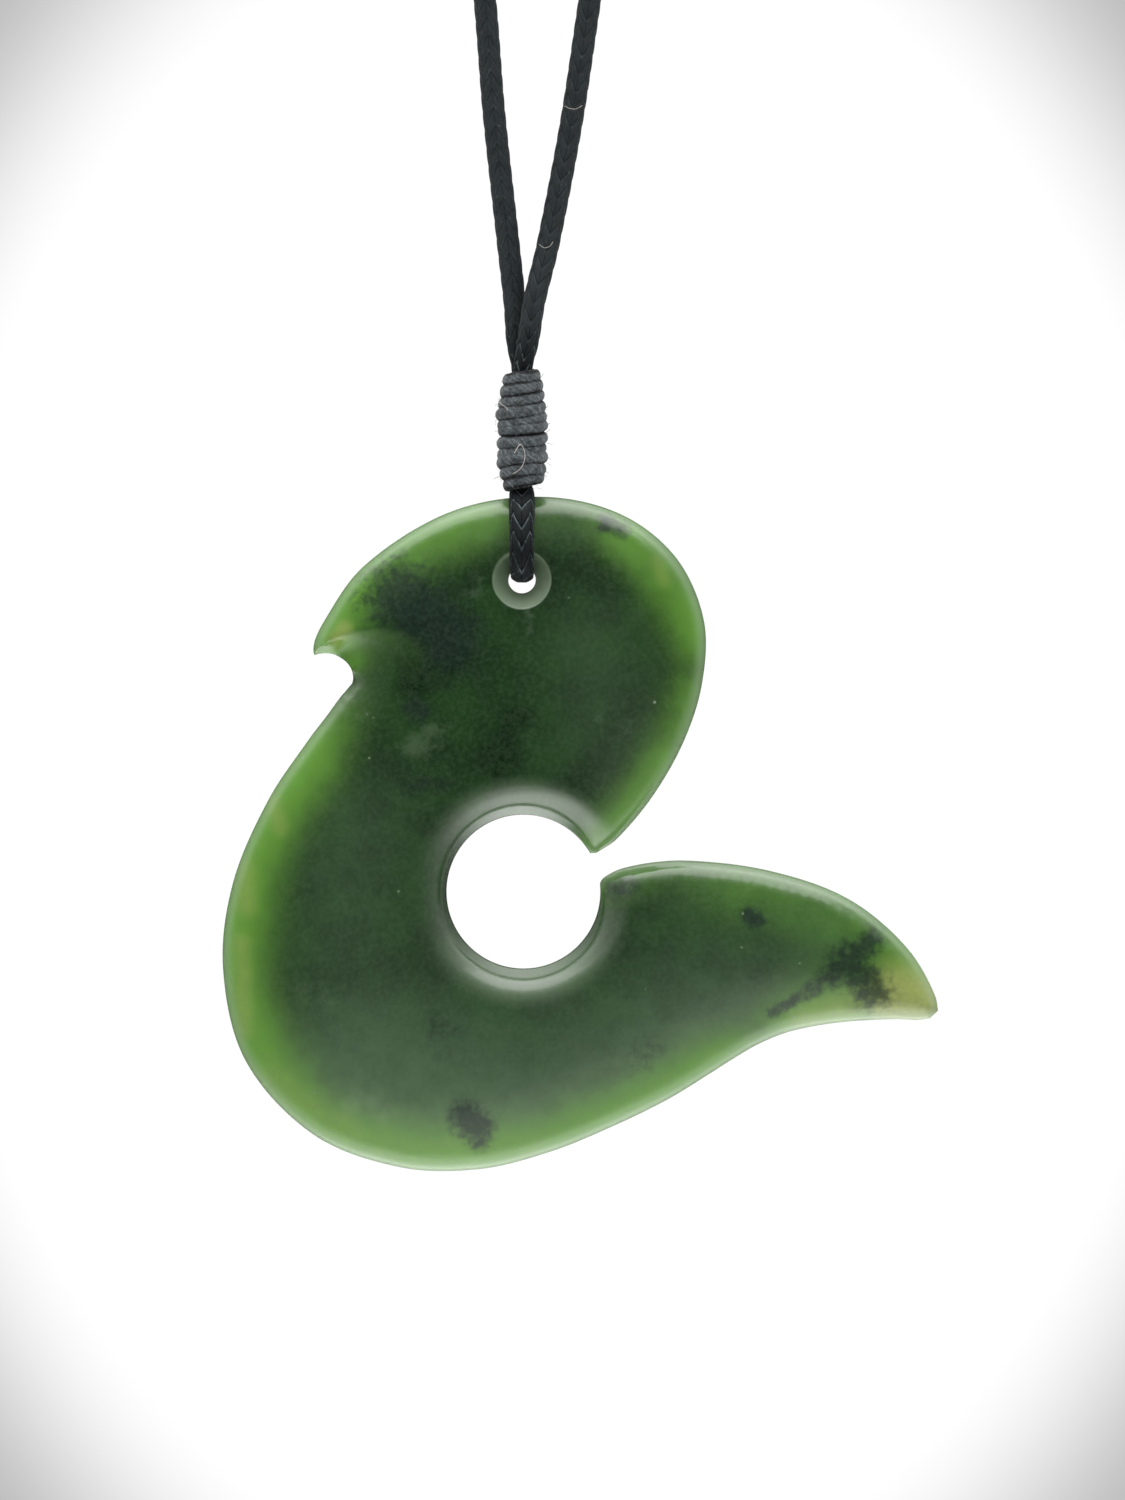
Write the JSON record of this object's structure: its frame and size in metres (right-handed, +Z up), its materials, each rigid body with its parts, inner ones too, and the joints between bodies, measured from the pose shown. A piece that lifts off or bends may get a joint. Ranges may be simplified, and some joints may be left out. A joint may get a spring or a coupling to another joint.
{
  "type": "hei matau pendant necklace",
  "caption": "Carved green stone fish hook pendant with a round eye, barb notch and tail, hung by a drilled hole on a whipped braided neck cord.",
  "frame": {"origin": "the point at the nape where the join of the cord rests against the neck", "axes": "+Z up along the neck, the wearer faces -Y, the pendant hangs in an upright plane facing -Y with its tail towards +X"},
  "size_m": [0.1258, 0.143, 0.2993],
  "materials": {
    "greenstone": "polished nephrite, dark green and mottled, brighter and translucent at its thin edges",
    "braided_cord": "matt black waxed round braid",
    "waxed_twine": "charcoal grey waxed twine",
    "join_binding": "dark waxed binding, plain"
  },
  "bodies": {
    "necklace": {"neck_cord": "braided_cord", "whipping": "waxed_twine", "neck_join": "join_binding"},
    "stone": {"hook_stone": "greenstone"}
  },
  "joints": [
    {"name": "stone_swing", "type": "hinge", "parent": "necklace", "child": "stone", "pos_m": [0, -0.134, -0.25], "axis": [0, 1, 0], "range_deg": [-12, 12]}
  ]
}
